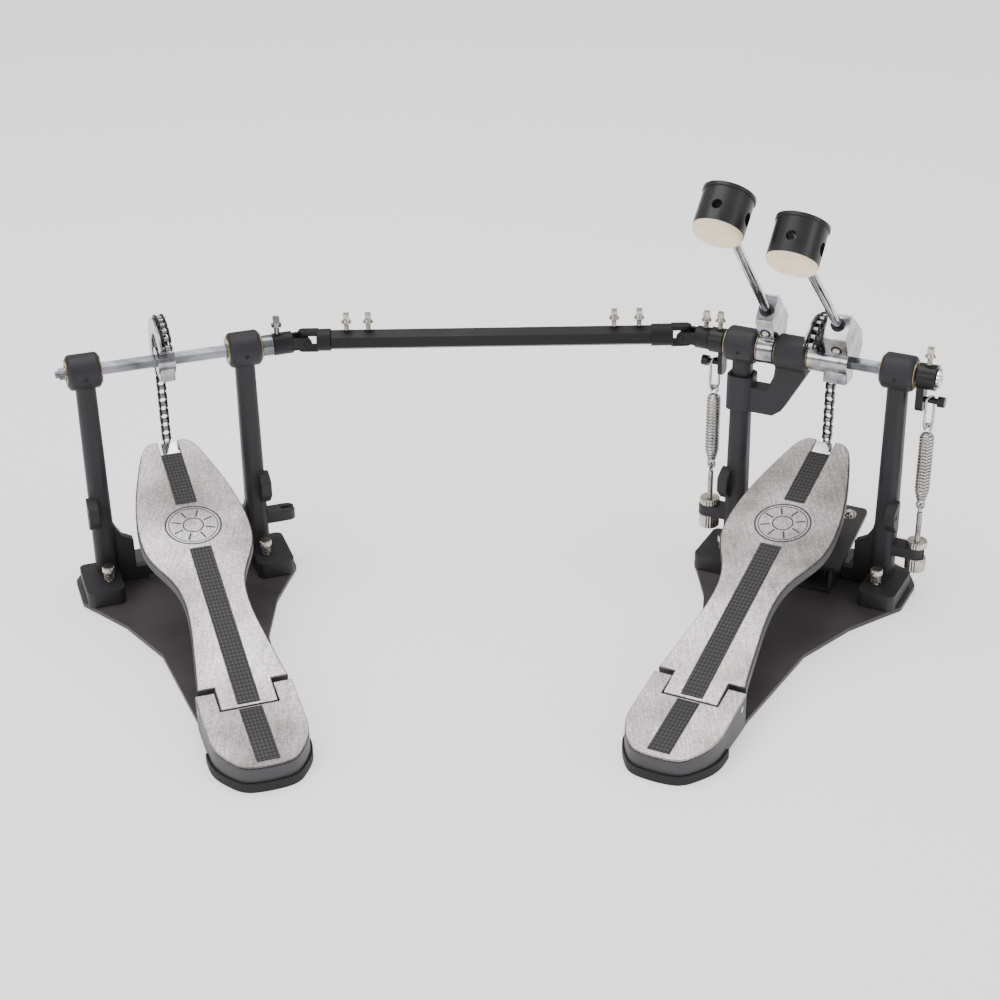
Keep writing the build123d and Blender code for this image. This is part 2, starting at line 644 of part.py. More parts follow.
def beater_head(beater):
    """The turned plastic head: a rim at its back, a bore for the rod and a blind hole each side."""
    with BuildPart() as head:
        with BuildSketch(facing(beater, -HEAD_L / 2)):
            Circle(HEAD_R + 0.9)
        extrude(amount=3)
        with BuildSketch(facing(beater, -HEAD_L / 2 + 3)):
            Circle(HEAD_R)
        extrude(amount=HEAD_L - FELT - 3)
        with BuildSketch(rod_plane(beater, beater["height"] - HEAD_R - 3)):
            Circle(ROD_R + 0.05)
        extrude(amount=2 * HEAD_R + 6, mode=Mode.SUBTRACT)
        for side in (-1, 1):
            middle = rod_plane(beater, beater["height"]).origin
            across = Plane(origin=middle, x_dir=(0, 1, 0), z_dir=(side, 0, 0))
            with BuildSketch(across.offset(9)):
                Circle(5.5)
            extrude(amount=20, mode=Mode.SUBTRACT)
    return head


def beater_face(beater):
    """The felt pad glued to the front of a head, its edge well rounded."""
    with BuildPart() as felt:
        with BuildSketch(facing(beater, HEAD_L / 2 - FELT)):
            Circle(HEAD_R - 0.3)
        extrude(amount=FELT)
        fillet(felt.faces().sort_by(Axis.Z)[0].edges(), 4.5)
    return felt


for name, beater, below in (("main", MAIN_BEATER, -24), ("second", SECOND_BEATER, -16)):
    save(beater_rod(beater, below), f"{name}_beater_rod", MAIN)
    save(beater_head(beater), f"{name}_beater_head", MAIN)
    save(beater_face(beater), f"{name}_beater_face", MAIN)

# ---------------------------------------------------------------- return springs


def spring_coil(side):
    """The space of a coil spring, drawn in at both ends."""
    bottom = EYE_Z[side] + 5
    with BuildPart() as coil:
        with BuildSketch(Plane.XZ):
            with BuildLine():
                x = SPRING_X[side]
                Polyline((x, bottom), (x + 3.5, bottom), (x + COIL_R, bottom + 9),
                         (x + COIL_R, bottom + COIL_LENGTH - 3), (x + 4, bottom + COIL_LENGTH),
                         (x, bottom + COIL_LENGTH), close=True)
            make_face()
        revolve(axis=Axis((SPRING_X[side], 0, 0), (0, 0, 1)))
    return coil


def spring_link(side):
    """The long wire link between the rocker's pin and the spring's hook."""
    low = EYE_Z[side] + COIL_LENGTH + 6
    high = AXLE_H - ARM_DROP + 2.6 + 2
    with BuildPart() as link:
        with BuildSketch(Plane.YZ.offset(SPRING_X[side] - 1)):
            with Locations((0, (low + high) / 2)):
                SlotOverall(high - low, 12, rotation=90)
                SlotOverall(high - low - 4, 8, rotation=90, mode=Mode.SUBTRACT)
        extrude(amount=2)
    return link


for side in ("main", "second"):
    save(spring_coil(side), f"{side}_spring", MAIN)
    save(spring_link(side), f"{side}_spring_link", MAIN)

with BuildPart() as eye_bolts:
    for side in ("main", "second"):
        with BuildSketch(Plane.XY.offset(BRACKET_Z - 14)):
            with Locations((SPRING_X[side], 0)):
                Circle(2.6)
        extrude(amount=EYE_Z[side] - BRACKET_Z + 14 - 2.6)
        with BuildSketch(Plane.YZ.offset(SPRING_X[side] - 1.3)):
            with Locations((0, EYE_Z[side])):
                Circle(4.5)
                Circle(2, mode=Mode.SUBTRACT)
        extrude(amount=2.6)
save(eye_bolts, "spring_eye_bolts", MAIN)

UPPER_NUT, LOWER_NUT, NUT_R = 6, 12.5, 9.2
with BuildPart() as nuts:
    for side in ("main", "second"):
        for base, tall in ((BRACKET_Z + BRACKET_T, UPPER_NUT), (BRACKET_Z - LOWER_NUT, LOWER_NUT)):
            with BuildSketch(Plane.XY.offset(base)):
                with Locations((SPRING_X[side], 0)):
                    Circle(NUT_R)
                    Circle(2.65, mode=Mode.SUBTRACT)
            extrude(amount=tall)
save(nuts, "spring_adjusting_nuts", MAIN)

# ---------------------------------------------------------------- hoop clamp, on the main pedal only

JAW_HALF, JAW_T, JAW_TILT = 40, 4, 15
JAW_PIN = (-26, 23)                 # Y and Z of the jaw's pivot
STUD_Y = 12

with BuildPart() as clamp_base:
    with BuildSketch(Plane.XY.offset(PLATE)):
        with Locations((0, 7)):
            Rectangle(66, 84)
    extrude(amount=2.5)
    for side in (-1, 1):
        with BuildSketch(Plane.YZ.offset(side * 31.5 - 1.5)):
            with BuildLine():
                Polyline((JAW_PIN[0] - 8, PLATE), (JAW_PIN[0] + 12, PLATE), (JAW_PIN[0] + 3, JAW_PIN[1] + 2.8),
                         (JAW_PIN[0] - 3, JAW_PIN[1] + 2.8), close=True)
            make_face()
        extrude(amount=3)
    bar(-36, 36, y=JAW_PIN[0], z=JAW_PIN[1], radius=2.5)
    with BuildSketch(Plane.XY.offset(PLATE)):
        with Locations((0, STUD_Y)):
            Circle(3)
    extrude(amount=56)
save(clamp_base, "clamp_base", MAIN)

jaw_plane = Plane(origin=(0, JAW_PIN[0], JAW_PIN[1]), x_dir=(1, 0, 0),
                  z_dir=(0, -sin(radians(JAW_TILT)), cos(radians(JAW_TILT))))
with BuildPart() as clamp_jaw:
    with BuildSketch(jaw_plane.offset(4)):
        with Locations((0, 36)):
            RectangleRounded(2 * JAW_HALF, 84, 5)
        with Locations((0, (STUD_Y - JAW_PIN[0]) / cos(radians(JAW_TILT)))):
            SlotOverall(20, 9, rotation=90, mode=Mode.SUBTRACT)
    extrude(amount=JAW_T)
    with BuildSketch(jaw_plane.offset(-3)):
        with Locations((0, 74)):
            Rectangle(2 * JAW_HALF - 12, 6)
    extrude(amount=8)
    for side in (-1, 1):
        with BuildSketch(jaw_plane.offset(-4)):
            with Locations((side * 26.5, 0)):
                Rectangle(3, 9)
        extrude(amount=9)
    bar(-30, 30, y=JAW_PIN[0], z=JAW_PIN[1], radius=2.55, mode=Mode.SUBTRACT)
save(clamp_jaw, "clamp_jaw", MAIN)

KNOB_Z = 47
with BuildPart() as clamp_knob:
    with BuildSketch(Plane.XY.offset(KNOB_Z)):
        with Locations((0, STUD_Y)):
            Circle(8)
    extrude(amount=11)
    with BuildSketch(Plane.XZ.offset(-STUD_Y - 1.6)):
        for side in (-1, 1):
            with Locations((side * 13, KNOB_Z + 8)):
                SlotOverall(24, 11, rotation=side * 20)
    extrude(amount=3.2)
    with BuildSketch(Plane.XY.offset(KNOB_Z - 5)):
        with Locations((0, STUD_Y)):
            Circle(3.05)
    extrude(amount=30, mode=Mode.SUBTRACT)
save(clamp_knob, "clamp_knob", MAIN)
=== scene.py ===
import json
from math import atan2, cos, pi, radians, sin, tau

import bmesh
import bpy
from mathutils import Matrix, Vector


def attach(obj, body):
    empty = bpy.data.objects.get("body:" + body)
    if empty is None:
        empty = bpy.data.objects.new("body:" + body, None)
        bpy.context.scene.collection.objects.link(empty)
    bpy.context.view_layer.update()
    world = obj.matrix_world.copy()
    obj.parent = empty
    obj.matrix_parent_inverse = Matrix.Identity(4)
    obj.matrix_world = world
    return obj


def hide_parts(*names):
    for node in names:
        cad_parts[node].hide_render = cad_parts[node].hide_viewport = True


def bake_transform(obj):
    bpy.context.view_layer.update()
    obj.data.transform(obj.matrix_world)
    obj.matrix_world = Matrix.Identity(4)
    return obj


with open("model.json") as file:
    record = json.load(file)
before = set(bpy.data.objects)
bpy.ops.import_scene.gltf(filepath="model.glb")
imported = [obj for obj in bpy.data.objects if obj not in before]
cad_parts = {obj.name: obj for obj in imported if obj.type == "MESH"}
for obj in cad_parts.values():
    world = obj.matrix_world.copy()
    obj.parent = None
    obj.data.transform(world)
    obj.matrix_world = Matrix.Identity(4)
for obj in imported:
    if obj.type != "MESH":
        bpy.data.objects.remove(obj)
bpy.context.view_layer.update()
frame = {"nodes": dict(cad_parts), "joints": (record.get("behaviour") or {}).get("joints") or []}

# ---------------------------------------------------------------- where the pedals stand
# Every piece is drawn in millimetres in its own pedal's frame: x along the axle, y towards the drum, the
# floor at z = 0. The left and main pedals stand at their own yaw, and the drive shaft lies between them.

joints = {joint["name"]: joint for joint in frame["joints"]}
MM = Matrix.Scale(0.001, 4)


def pedal_stand(axle_turn):
    """From millimetres in a pedal's own frame to metres in the shared one."""
    place, axis = joints[axle_turn]["pos_m"], joints[axle_turn]["axis"]
    yaw = atan2(-axis[1], -axis[0])
    return Matrix.Translation((place[0], place[1], 0)) @ Matrix.Rotation(yaw, 4, "Z") @ MM


left_joint = Vector(joints["drive_rod_turn"]["pos_m"])
right_joint = Vector(joints["drive_tube_turn"]["pos_m"])
shaft_middle = (left_joint + right_joint) / 2
STANDS = {
    "left": pedal_stand("left_axle_turn"),
    "main": pedal_stand("main_axle_turn"),
    "shaft": Matrix.Translation((shaft_middle.x, shaft_middle.y, 0)) @ MM,
}
AXLE_H = left_joint.z * 1000
HEEL_LINE = Vector((0, -285, 31.7))
BOARD_TILT, HEEL_TILT = radians(15), radians(8.5)

# ---------------------------------------------------------------- base plates and frames
# Each frame is one casting, two posts and the low wall that joins them, bolted on a 4 mm steel plate. The
# castings and the plate are powder coated: nearly black, matt, with a fine pebbled skin.


def grained(name, colour, roughness, metallic=0.0, mottle=(25, 0.12), grain=(1400, 0.12), edge=0.5,
            stretch=(1, 1, 1), turn=(0, 0, 0), shift=0.08, sheen=0.5):
    """A finish whose colour and gloss drift over the piece, with a fine relief and softened edges.

    Mottle is the drift's scale and depth, grain the relief's scale and strength, edge a radius in millimetres,
    shift how far the roughness drifts, and sheen the strength of the clear reflection.
    """
    finish = bpy.data.materials.new(name)
    finish.use_nodes = True
    nodes, links = finish.node_tree.nodes, finish.node_tree.links
    shader = nodes["Principled BSDF"]
    shader.inputs["Metallic"].default_value = metallic
    shader.inputs["Specular IOR Level"].default_value = sheen
    place = nodes.new("ShaderNodeTexCoord")
    mapping = nodes.new("ShaderNodeMapping")
    mapping.inputs["Rotation"].default_value = turn
    mapping.inputs["Scale"].default_value = stretch
    links.new(place.outputs["Object"], mapping.inputs["Vector"])

    drift = nodes.new("ShaderNodeTexNoise")
    drift.inputs["Scale"].default_value, drift.inputs["Detail"].default_value = mottle[0], 5
    links.new(mapping.outputs["Vector"], drift.inputs["Vector"])
    ramp = nodes.new("ShaderNodeValToRGB")
    ramp.color_ramp.elements[0].position, ramp.color_ramp.elements[1].position = 0.3, 0.7
    ramp.color_ramp.elements[0].color = (*(channel * (1 - mottle[1]) for channel in colour), 1)
    ramp.color_ramp.elements[1].color = (*(min(channel * (1 + mottle[1]), 1) for channel in colour), 1)
    links.new(drift.outputs["Fac"], ramp.inputs["Fac"])
    links.new(ramp.outputs["Color"], shader.inputs["Base Color"])
    gloss = nodes.new("ShaderNodeMapRange")
    gloss.inputs["From Min"].default_value, gloss.inputs["From Max"].default_value = 0.3, 0.7
    gloss.inputs["To Min"].default_value = max(roughness - shift, 0.03)
    gloss.inputs["To Max"].default_value = roughness + shift
    links.new(drift.outputs["Fac"], gloss.inputs["Value"])
    links.new(gloss.outputs["Result"], shader.inputs["Roughness"])

    fine = nodes.new("ShaderNodeTexNoise")
    fine.inputs["Scale"].default_value, fine.inputs["Detail"].default_value = grain[0], 3
    links.new(mapping.outputs["Vector"], fine.inputs["Vector"])
    relief = nodes.new("ShaderNodeBump")
    relief.inputs["Strength"].default_value, relief.inputs["Distance"].default_value = grain[1], 0.0005
    links.new(fine.outputs["Fac"], relief.inputs["Height"])
    if edge:
        softened = nodes.new("ShaderNodeBevel")
        softened.samples = 4
        softened.inputs["Radius"].default_value = edge * 0.001
        links.new(softened.outputs["Normal"], relief.inputs["Normal"])
    links.new(relief.outputs["Normal"], shader.inputs["Normal"])
    return finish


def dress(finish, *names):
    """Gives CAD pieces a finish."""
    for name in names:
        frame["nodes"][name].material_slots[0].material = finish


powder_coat = grained("powder_coat", (0.022, 0.0203, 0.0235), 0.52, mottle=(18, 0.22), grain=(1500, 0.4),
                      edge=1.2, sheen=0.35)
plate_coat = grained("plate_coat", (0.056, 0.049, 0.053), 0.48, mottle=(12, 0.45),
                    grain=(1800, 0.25), edge=0.8, sheen=0.35)
dress(powder_coat, "left_frame", "main_frame", "yoke_bracket")
dress(plate_coat, "left_base_plate", "main_base_plate")

# ---------------------------------------------------------------- set screws of the frames
# A small black grub screw in the front of each housing locks its bearing.


def turned(profile, segments=32):
    """A turned shape round its own z, from its profile of (radius, height)."""
    shape = bmesh.new()
    points = [shape.verts.new((radius, 0, height)) for radius, height in profile]
    edges = [shape.edges.new(pair) for pair in zip(points, points[1:])]
    bmesh.ops.spin(shape, geom=points + edges, cent=(0, 0, 0), axis=(0, 0, 1), angle=tau, steps=segments,
                   use_merge=True, use_duplicate=False, dvec=(0, 0, 0))
    bmesh.ops.remove_doubles(shape, verts=shape.verts, dist=1e-4)
    return shape


def block(size, soften=0.5):
    """A box with softened edges, centred on its own origin."""
    shape = bmesh.new()
    bmesh.ops.create_cube(shape, size=1)
    bmesh.ops.scale(shape, vec=size, verts=shape.verts)
    bmesh.ops.bevel(shape, geom=shape.edges[:], offset=soften, segments=2, profile=0.5, affect="EDGES",
                    material=-1)
    return shape


def aimed(place, towards=(0, 0, 1)):
    """Stands a shape's z along a direction, at a place."""
    return Matrix.Translation(place) @ Vector(towards).to_track_quat("Z", "Y").to_matrix().to_4x4()


def fix_on(piece, shape, stand=Matrix()):
    """Adds a shape to a piece, where it belongs."""
    made = bpy.data.meshes.new("shape")
    shape.transform(stand)
    shape.to_mesh(made)
    shape.free()
    piece.from_mesh(made)
    bpy.data.meshes.remove(made)


def fit(piece, name, side, body, finish, replaces=(), crease=32):
    """Finishes a piece: closes and smooths its mesh, and hangs it on its body, if it has just one."""
    bmesh.ops.recalc_face_normals(piece, faces=piece.faces)
    piece.transform(STANDS[side])
    mesh = bpy.data.meshes.new(name)
    piece.to_mesh(mesh)
    piece.free()
    mesh.materials.append(finish)
    mesh.shade_smooth()
    mesh.set_sharp_from_angle(angle=radians(crease))
    made = bpy.data.objects.new(name, mesh)
    bpy.context.scene.collection.objects.link(made)
    if body:
        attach(made, body)
    if replaces:
        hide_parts(*replaces)
    return made


def socket_screw(radius, height):
    """A small socket-head screw: a low cylinder with a hexagon hollow in its top."""
    return turned([(0, height - 1.2), (radius * 0.5, height - 1.2), (radius * 0.55, height - 0.1),
                   (radius * 0.85, height), (radius, height - 0.4), (radius, 0), (0, 0)], 18)


blackened = grained("blackened_steel", (0.018, 0.018, 0.019), 0.35, 0.6, grain=(900, 0.05), edge=0.2)
POST_X, CAP_R = 69.5, 15.5
for side in ("left", "main"):
    piece = bmesh.new()
    for x in (-POST_X, POST_X):
        fix_on(piece, socket_screw(1.7, 1.0), aimed((x, -CAP_R + 0.5, AXLE_H - 2), (0, -1, 0)))
    fit(piece, f"{side}_frame_screws", side, f"{side}_base", blackened)

# ---------------------------------------------------------------- bearings
# Ball bearings pressed into the housings. Their outer rings stand a little proud and catch the light.

bearing_ring = grained("bearing_ring", (0.30, 0.24, 0.14), 0.38, 0.9, mottle=(60, 0.25), grain=(600, 0.04),
                       edge=0.2)
dress(bearing_ring, "left_bearings", "main_bearings")

# ---------------------------------------------------------------- spur screws
# Nickelled screws in the frame's feet that bite into the carpet. Each has a knurled head, and a short coil
# under it that stops it turning by itself.

nickel = grained("nickel_plate", (0.50, 0.47, 0.43), 0.24, 0.95, mottle=(110, 0.3), grain=(700, 0.08),
                 edge=0.2)


def coil(radius, wire, turns, pitch, sides=6, steps_per_turn=14):
    """A coil of round wire round its own z, from z = 0 upwards."""
    shape = bmesh.new()
    bmesh.ops.create_circle(shape, segments=sides, radius=wire,
                            matrix=Matrix.Translation((radius, 0, 0)) @ Matrix.Rotation(pi / 2, 4, "X"))
    steps = round(turns * steps_per_turn)
    bmesh.ops.spin(shape, geom=shape.verts[:] + shape.edges[:], cent=(0, 0, 0), axis=(0, 0, 1),
                   angle=turns * tau, steps=steps, use_merge=False, use_duplicate=False,
                   dvec=(0, 0, turns * pitch / steps))
    bmesh.ops.holes_fill(shape, edges=[edge for edge in shape.edges if edge.is_boundary])
    return shape


def knurl(shape, radius, depth):
    """Presses every other column of a turned shape's outside inwards."""
    for point in shape.verts:
        turn = atan2(point.co.y, point.co.x) / tau * 48
        if point.co.xy.length > radius - 0.05 and round(turn) % 2:
            point.co.xy *= (radius - depth) / radius


def threaded(radius, length, pitch=1.1):
    """A threaded stud: a turned profile of fine grooves."""
    count = int(length / pitch)
    profile = [(0, 0)]
    for groove in range(count):
        profile += [(radius, (groove + 0.3) * pitch), (radius - 0.45, (groove + 0.8) * pitch)]
    return turned(profile + [(radius - 0.2, length), (0, length)], 16)


SPUR_X, SPUR_Y, FOOT_TOP = 71, -24.6, 19
for side in ("left", "main"):
    piece = bmesh.new()
    for x in (-SPUR_X, SPUR_X):
        stand = Matrix.Translation((x, SPUR_Y, 0))
        fix_on(piece, threaded(2.9, 24), stand @ Matrix.Translation((0, 0, 4)))
        fix_on(piece, turned([(0, 3), (2.4, 5), (0, 5)], 12), stand)
        head = turned([(0, 27.4), (4.2, 27.4), (5.5, 28), (5.5, 32.2), (4.9, 33.1), (2.2, 33.4), (0, 33.4)],
                      48)
        knurl(head, 5.5, 0.3)
        fix_on(piece, head, stand)
        fix_on(piece, coil(3.9, 0.7, 4, 1.9), stand @ Matrix.Translation((0, 0, FOOT_TOP + 0.7)))
    fit(piece, f"{side}_spurs", side, f"{side}_base", nickel, replaces=[f"{side}_spur_screws"])

# ---------------------------------------------------------------- heel blocks and rubber feet
# A dark moulded block under each heel plate holds the hinge pin, and stands on a rubber foot that is turned
# up into a lip all round it. A recessed screw closes each end of the hinge.

heel_paint = grained("heel_paint", (0.043, 0.040, 0.044), 0.5, mottle=(22, 0.12), grain=(1100, 0.3), edge=1.0)
foot_rubber = grained("foot_rubber", (0.015, 0.0142, 0.0158), 0.72, sheen=0.35, mottle=(40, 0.2),
                      grain=(700, 0.35), edge=0.8)
dress(heel_paint, "left_heel_block", "main_heel_block")
dress(foot_rubber, "left_heel_foot", "main_heel_foot")
dress(nickel, "left_hinge_pin", "main_hinge_pin")
for side in ("left", "main"):
    piece = bmesh.new()
    for x in (-1, 1):
        cap = turned([(0, -1.4), (2.4, -1.4), (2.7, 0.1), (4.1, 0.15), (4.4, -0.2), (4.4, -1.6), (0, -1.6)], 24)
        fix_on(piece, cap, aimed((x * 39, -271, 25), (x, 0, 0)))
    fit(piece, f"{side}_hinge_caps", side, f"{side}_base", blackened)

# ---------------------------------------------------------------- footboards
# Each footboard is a grey cast tray, ribbed below, with a brushed aluminium tread plate screwed on its top.

board_casting = grained("board_casting", (0.060, 0.058, 0.062), 0.5, 0.3, mottle=(30, 0.15),
                        grain=(900, 0.3), edge=0.8)
dress(board_casting, "left_footboard", "main_footboard")


def brushed(name, yaw, tilt):
    """Anodised aluminium, brushed along the board: fine streaks over a cloudy, speckled grain, painted shade on
    its edges.
    """
    finish = grained(name, (0.63, 0.59, 0.58), 0.42, 0.82, mottle=(12, 0.6), grain=(500, 0.12), edge=0.5,
                     turn=(0, 0, -yaw), shift=0.07)
    nodes, links = finish.node_tree.nodes, finish.node_tree.links
    shader, relief = nodes["Principled BSDF"], nodes["Bump"]
    place = nodes["Texture Coordinate"]
    along = nodes.new("ShaderNodeMapping")
    along.inputs["Rotation"].default_value = (-tilt, 0, -yaw)
    along.inputs["Scale"].default_value = (1400, 45, 45)
    links.new(place.outputs["Object"], along.inputs["Vector"])
    streaks = nodes.new("ShaderNodeTexNoise")
    streaks.inputs["Scale"].default_value, streaks.inputs["Detail"].default_value = 1.0, 4
    links.new(along.outputs["Vector"], streaks.inputs["Vector"])
    speckle = nodes.new("ShaderNodeTexNoise")
    speckle.inputs["Scale"].default_value, speckle.inputs["Detail"].default_value = 420, 4
    links.new(place.outputs["Object"], speckle.inputs["Vector"])
    both = nodes.new("ShaderNodeMath")
    both.operation = "ADD"
    links.new(streaks.outputs["Fac"], both.inputs[0])
    links.new(speckle.outputs["Fac"], both.inputs[1])
    shade = nodes.new("ShaderNodeMapRange")
    shade.inputs["From Min"].default_value, shade.inputs["From Max"].default_value = 0.6, 1.4
    shade.inputs["To Min"].default_value, shade.inputs["To Max"].default_value = 0.42, 1.46
    links.new(both.outputs["Value"], shade.inputs["Value"])
    tint = nodes.new("ShaderNodeMix")
    tint.data_type, tint.blend_type = "RGBA", "MULTIPLY"
    tint.inputs["Factor"].default_value = 1
    links.new(nodes["Color Ramp"].outputs["Color"], tint.inputs["A"])
    links.new(shade.outputs["Result"], tint.inputs["B"])
    links.new(both.outputs["Value"], relief.inputs["Height"])

    # Painted shade: the rounded edges are mixed towards dark brown, by how far the bevelled normal turns from
    # the face.
    rounded = nodes.new("ShaderNodeBevel")
    rounded.samples = 6
    rounded.inputs["Radius"].default_value = 0.0016
    surface = nodes.new("ShaderNodeNewGeometry")
    level = nodes.new("ShaderNodeVectorMath")
    level.operation = "DOT_PRODUCT"
    links.new(rounded.outputs["Normal"], level.inputs[0])
    links.new(surface.outputs["Normal"], level.inputs[1])
    rim = nodes.new("ShaderNodeMapRange")
    rim.inputs["From Min"].default_value, rim.inputs["From Max"].default_value = 0.90, 0.985
    links.new(level.outputs["Value"], rim.inputs["Value"])
    painted_edge_shade = nodes.new("ShaderNodeMix")
    painted_edge_shade.data_type, painted_edge_shade.blend_type = "RGBA", "MIX"
    painted_edge_shade.inputs["A"].default_value = (0.050, 0.038, 0.034, 1)
    links.new(rim.outputs["Result"], painted_edge_shade.inputs["Factor"])
    links.new(tint.outputs["Result"], painted_edge_shade.inputs["B"])
    links.new(painted_edge_shade.outputs["Result"], shader.inputs["Base Color"])
    return finish


yaws = {side: STANDS[side].to_euler().z for side in ("left", "main")}
for side in ("left", "main"):
    dress(brushed(f"{side}_tread_metal", yaws[side], BOARD_TILT), f"{side}_tread_plate")
    dress(brushed(f"{side}_heel_metal", yaws[side], HEEL_TILT), f"{side}_heel_plate")

# ---------------------------------------------------------------- rubber tread strips
# A black rubber strip is let into the middle of each board, and a shorter one into each heel plate. Rows of
# small raised diamonds give the shoe its grip.


def diamond_rubber(name, yaw, tilt):
    """Black rubber with rows of raised diamonds, 3 mm apart, laid out along the strip, with painted light on
    their tops.
    """
    finish = grained(name, (0.020, 0.0195, 0.020), 0.6, mottle=(60, 0.3), grain=(900, 0.25), edge=0.3)
    nodes, links = finish.node_tree.nodes, finish.node_tree.links
    along = nodes.new("ShaderNodeMapping")
    along.inputs["Rotation"].default_value = (-tilt, 0, -yaw)
    links.new(nodes["Texture Coordinate"].outputs["Object"], along.inputs["Vector"])
    split = nodes.new("ShaderNodeSeparateXYZ")
    links.new(along.outputs["Vector"], split.inputs["Vector"])
    waves = []
    for axis, pitch in (("X", 0.0030), ("Y", 0.0042)):
        scaled = nodes.new("ShaderNodeMath")
        scaled.operation = "MULTIPLY"
        scaled.inputs[1].default_value = tau / pitch
        links.new(split.outputs[axis], scaled.inputs[0])
        wave = nodes.new("ShaderNodeMath")
        wave.operation = "COSINE"
        links.new(scaled.outputs["Value"], wave.inputs[0])
        waves.append(wave)
    studs = nodes.new("ShaderNodeMath")
    studs.operation = "ADD"
    links.new(waves[0].outputs["Value"], studs.inputs[0])
    links.new(waves[1].outputs["Value"], studs.inputs[1])
    tops = nodes.new("ShaderNodeMapRange")
    tops.inputs["From Min"].default_value, tops.inputs["From Max"].default_value = -0.6, 0.6
    links.new(studs.outputs["Value"], tops.inputs["Value"])
    raised = nodes.new("ShaderNodeBump")
    raised.inputs["Strength"].default_value, raised.inputs["Distance"].default_value = 0.9, 0.0007
    links.new(tops.outputs["Result"], raised.inputs["Height"])
    links.new(nodes["Bevel"].outputs["Normal"], raised.inputs["Normal"])
    links.new(raised.outputs["Normal"], nodes["Bump"].inputs["Normal"])
    # Painted light and shade: the diamonds' tops are coloured lighter than the grooves between them.
    painted_stud_light = nodes.new("ShaderNodeMix")
    painted_stud_light.data_type, painted_stud_light.blend_type = "RGBA", "MIX"
    painted_stud_light.inputs["B"].default_value = (0.060, 0.058, 0.060, 1)
    links.new(tops.outputs["Result"], painted_stud_light.inputs["Factor"])
    links.new(nodes["Color Ramp"].outputs["Color"], painted_stud_light.inputs["A"])
    links.new(painted_stud_light.outputs["Result"], nodes["Principled BSDF"].inputs["Base Color"])
    return finish


def on_slope(tilt, across, up, lift=0):
    """A point on a tread: across it, up it from the heel line, and lifted square to it."""
    return HEEL_LINE + Vector((across, up * cos(tilt) - lift * sin(tilt), up * sin(tilt) + lift * cos(tilt)))


for side in ("left", "main"):
    dress(diamond_rubber(f"{side}_strip_rubber", yaws[side], BOARD_TILT), f"{side}_tread_strip")
    strip = block((18.6, 62, 1.4), 0.25)
    piece = bmesh.new()
    fix_on(piece, strip,
           Matrix.Translation(on_slope(HEEL_TILT, 0, -33, 0)) @ Matrix.Rotation(HEEL_TILT, 4, "X"))
    fit(piece, f"{side}_heel_strip", side, f"{side}_base",
        diamond_rubber(f"{side}_heel_rubber", yaws[side], HEEL_TILT))

# ---------------------------------------------------------------- badges
# A plain roundel engraved in each tread plate between the two lengths of rubber: two rings and eight short
# marks, filled with dark enamel. The enamel is dead flush with the metal.

engraving = grained("engraving", (0.045, 0.046, 0.048), 0.6, mottle=(80, 0.2), grain=(900, 0.2), edge=0)
BADGE_UP = 216


def thin_ring(outer, inner, height=0.12):
    """A flat ring of enamel."""
    return turned([(inner, 0), (outer, 0), (outer, height), (inner, height), (inner, 0)], 72)


for side in ("left", "main"):
    piece = bmesh.new()
    stand = Matrix.Translation(on_slope(BOARD_TILT, 0, BADGE_UP, -0.04)) @ Matrix.Rotation(BOARD_TILT, 4, "X")
    for outer, inner in ((24.5, 23), (21.4, 20.6), (9.2, 8)):
        fix_on(piece, thin_ring(outer, inner), stand)
    for mark in range(8):
        turn = Matrix.Rotation(tau * (mark + 0.5) / 8, 4, "Z")
        fix_on(piece, block((1.5, 8.5, 0.12), 0.02), stand @ turn @ Matrix.Translation((0, 15, 0.06)))
    fit(piece, f"{side}_badge", side, f"{side}_board", engraving)

# ---------------------------------------------------------------- chain clips
# A polished steel wedge in the toe of each board holds the chain's last pin.

chrome = grained("chrome", (0.80, 0.80, 0.81), 0.09, 1.0, mottle=(45, 0.06), grain=(350, 0.02), edge=0.3,
                 shift=0.04)
dress(chrome, "left_chain_clip", "main_chain_clip")

# ---------------------------------------------------------------- axles and beater rods
# The axles are hexagon steel bar and the beater rods are round, all chrome plated. The axles' plating is
# darkened and streaked along the bar: painted reflection.

# The dark base colour and the strong drift, stretched along the bar, are painted reflection.
streaked_reflection_chrome = grained("streaked_reflection_chrome", (0.14, 0.143, 0.157), 0.16, 1.0, mottle=(60, 0.95), grain=(260, 0.10),
                     edge=0.35, stretch=(0.35, 1, 1), shift=0.07)
dress(streaked_reflection_chrome, "left_axle", "main_axle")
rod_chrome = grained("rod_chrome", (0.52, 0.52, 0.54), 0.12, 1.0, mottle=(60, 0.3), grain=(300, 0.04),
                     edge=0.3, shift=0.05)
dress(rod_chrome, "main_beater_rod", "second_beater_rod")

# ---------------------------------------------------------------- chains
# Roller chain, 8 mm from pin to pin: blackened side plates, inside and outside in turn, and bright rollers on
# bright pins. One length lies on the wheel and the rest hangs straight to the board.

CHAIN_R, CLIP_PIN_Z, WRAP_END = 36.3, 113, 145
chain_plate = grained("chain_plate", (0.035, 0.033, 0.034), 0.32, 0.8, mottle=(90, 0.3), grain=(900, 0.08),
                      edge=0.15)
chain_roller = grained("chain_roller", (0.34, 0.33, 0.32), 0.28, 1.0, mottle=(90, 0.3), grain=(900, 0.06),
                       edge=0.15)


